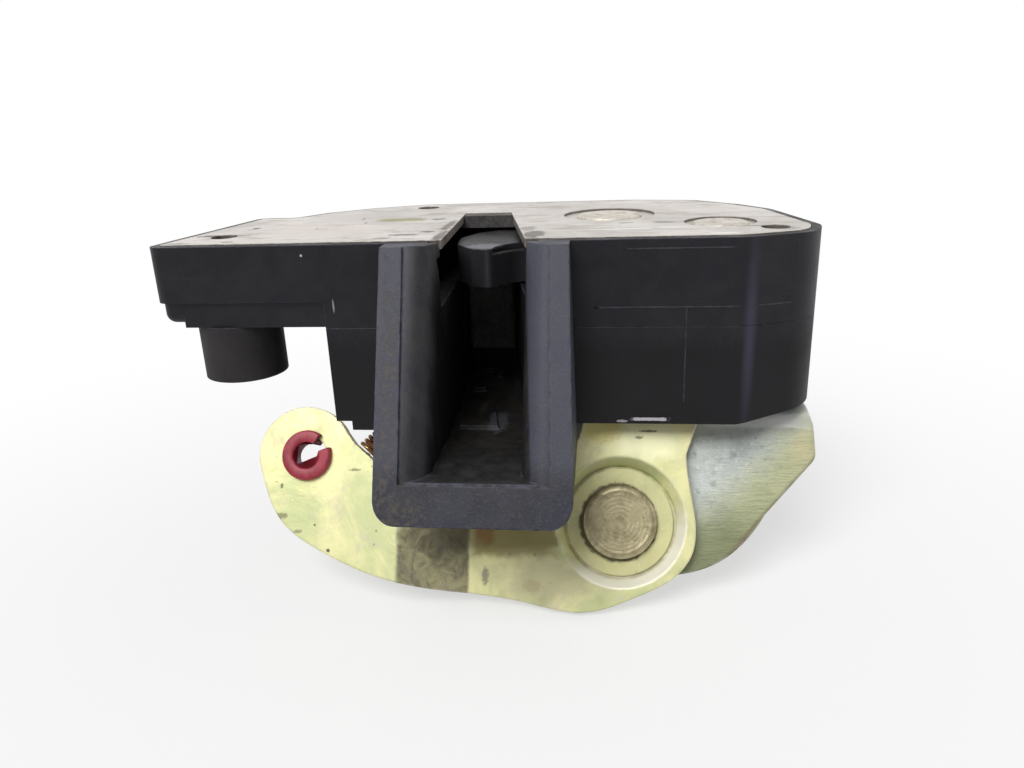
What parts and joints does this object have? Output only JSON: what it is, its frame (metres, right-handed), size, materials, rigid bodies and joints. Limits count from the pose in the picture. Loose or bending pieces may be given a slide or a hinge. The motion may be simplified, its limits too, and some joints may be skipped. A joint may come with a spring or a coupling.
{
  "type": "door latch actuator",
  "caption": "Car door latch with a forked catch in a slanted striker throat, a pivoted release lever with a rod clip, and a built-in motor drive for its lock.",
  "frame": {"origin": "middle of the striker slot's mouth, on the outer face of the frame plate", "axes": "+X to the right as seen from the throat's open side, +Y the way the striker enters, +Z out of the plate"},
  "size_m": [0.1217, 0.0825, 0.0673],
  "materials": {
    "zinc_steel": "dull zinc plate with grime",
    "black_plastic": "satin black moulding",
    "grey_plastic": "dark grey moulding",
    "buffer_rubber": "matt",
    "dark_steel": "dark phosphated steel",
    "cover_plastic": "satin",
    "stud_steel": "dull",
    "spring_steel": "drawn wire",
    "back_steel": "rolled, satin",
    "yellow_steel": "yellow zinc chromate",
    "rivet_steel": "scuffed",
    "red_plastic": "satin red moulding",
    "motor_steel": "drawn can",
    "brass": "plain",
    "gear_plastic": "natural moulding"
  },
  "bodies": {
    "housing": {"frame_plate": "zinc_steel", "latch_housing": "black_plastic", "actuator_housing": "black_plastic", "throat_guide": "grey_plastic", "slot_buffer": "buffer_rubber", "striker_buffer": "buffer_rubber", "fork_stud": "stud_steel", "fork_spring": "spring_steel", "pawl_stud": "stud_steel", "pawl_spring": "spring_steel", "back_plate": "back_steel", "pivot_washer": "yellow_steel", "lever_rivet": "rivet_steel", "lever_spring": "spring_steel", "motor_case": "motor_steel", "motor_cap": "grey_plastic", "wheel_axle": "spring_steel", "connector_socket": "black_plastic", "contact_strips": "brass", "cover_screws": "stud_steel"},
    "fork": {"fork_bolt": "dark_steel", "fork_cover": "cover_plastic"},
    "pawl": {"pawl": "dark_steel", "pawl_cover": "cover_plastic", "pawl_arm": "cover_plastic"},
    "lever": {"release_lever": "yellow_steel", "rod_clip": "red_plastic"},
    "rotor": {"motor_shaft": "spring_steel", "worm": "brass"},
    "wheel": {"worm_wheel": "gear_plastic"},
    "plunger": {"lock_plunger": "gear_plastic"}
  },
  "joints": [
    {"name": "fork_turn", "type": "hinge", "parent": "housing", "child": "fork", "pos_m": [0.0215, 0.031, 0], "axis": [0, 0, 1], "range_deg": [-48, 0], "stiffness_Nm_per_rad": 0.4, "deforming": ["fork_spring"]},
    {"name": "release_lever_turn", "type": "hinge", "parent": "housing", "child": "lever", "pos_m": [0.0237, -0.00344, -0.05175], "axis": [0, -0.8829, 0.4695], "range_deg": [-4, 4], "stiffness_Nm_per_rad": 2, "deforming": ["lever_spring"]},
    {"name": "pawl_turn", "type": "hinge", "parent": "housing", "child": "pawl", "pos_m": [0.042, 0.0175, 0], "axis": [0, 0, 1], "range_deg": [-9.7, 9.7], "deforming": ["pawl_spring"]},
    {"name": "wheel_turn", "type": "hinge", "parent": "housing", "child": "wheel", "pos_m": [-0.0331, 0.0335, 0], "axis": [0, 0, 1], "range_deg": [-75, 0]},
    {"name": "worm_turn", "type": "hinge", "parent": "housing", "child": "rotor", "pos_m": [-0.0203, 0.0335, -0.0104], "axis": [0, 1, 0], "range_deg": [-5, 1805]},
    {"name": "plunger_slide", "type": "slide", "parent": "housing", "child": "plunger", "axis": [0, 1, 0], "range_m": [-0.0001, 0.008]}
  ],
  "couplings": [
    {"joint": "pawl_turn", "follows": "release_lever_turn", "ratio": -2.4},
    {"joint": "worm_turn", "follows": "wheel_turn", "ratio": -24},
    {"joint": "plunger_slide", "follows": "wheel_turn", "m_per_rad": -0.006}
  ]
}
